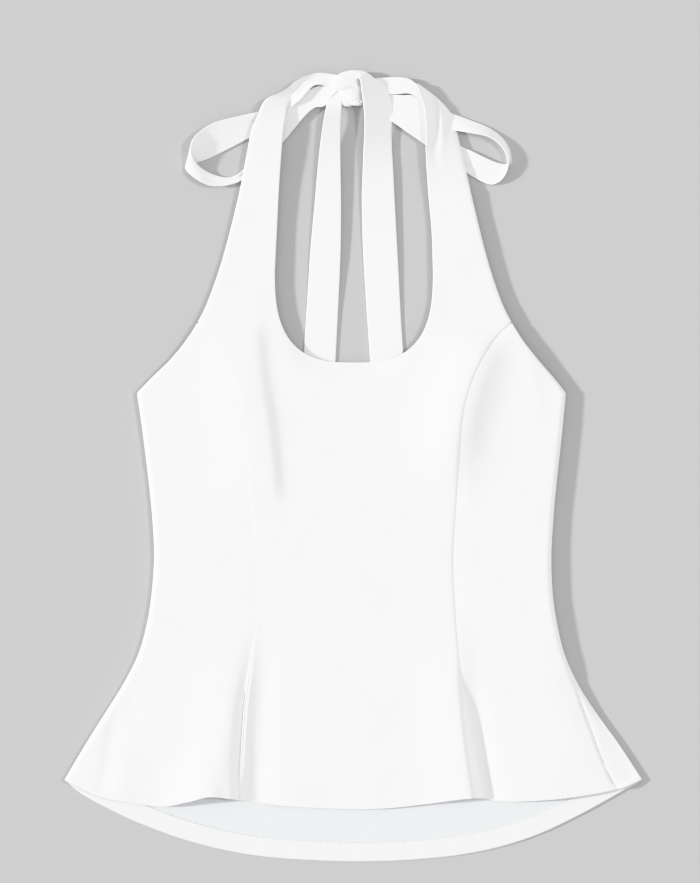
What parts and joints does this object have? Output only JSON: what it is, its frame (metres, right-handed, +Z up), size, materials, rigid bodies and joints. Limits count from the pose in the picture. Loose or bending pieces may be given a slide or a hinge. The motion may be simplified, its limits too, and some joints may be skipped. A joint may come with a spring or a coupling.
{
  "type": "halter neck top",
  "caption": "Sleeveless halter top laid flat, with a scoop neck, princess seams, a flared hem and neck ties knotted in a bow.",
  "frame": {"origin": "on the surface that the top lies on, under the middle of its outline", "axes": "+X to the right of the laid top as seen from above, +Y towards its neck, +Z up from the surface"},
  "size_m": [0.578, 0.7901, 0.0129],
  "materials": {
    "crepe": "white matt crepe, smooth and opaque, with a fine pebbled grain",
    "crepe_inside": "inside of the same white crepe, slightly duller, with its hem turned up"
  },
  "bodies": {
    "root": {"front_centre": "crepe", "front_side_left": "crepe", "front_side_right": "crepe", "back": "crepe_inside", "strap_tie_left": "crepe", "strap_tie_right": "crepe", "loop_left": "crepe", "loop_right": "crepe", "tail_left": "crepe", "tail_right": "crepe", "knot": "crepe"}
  },
  "joints": []
}
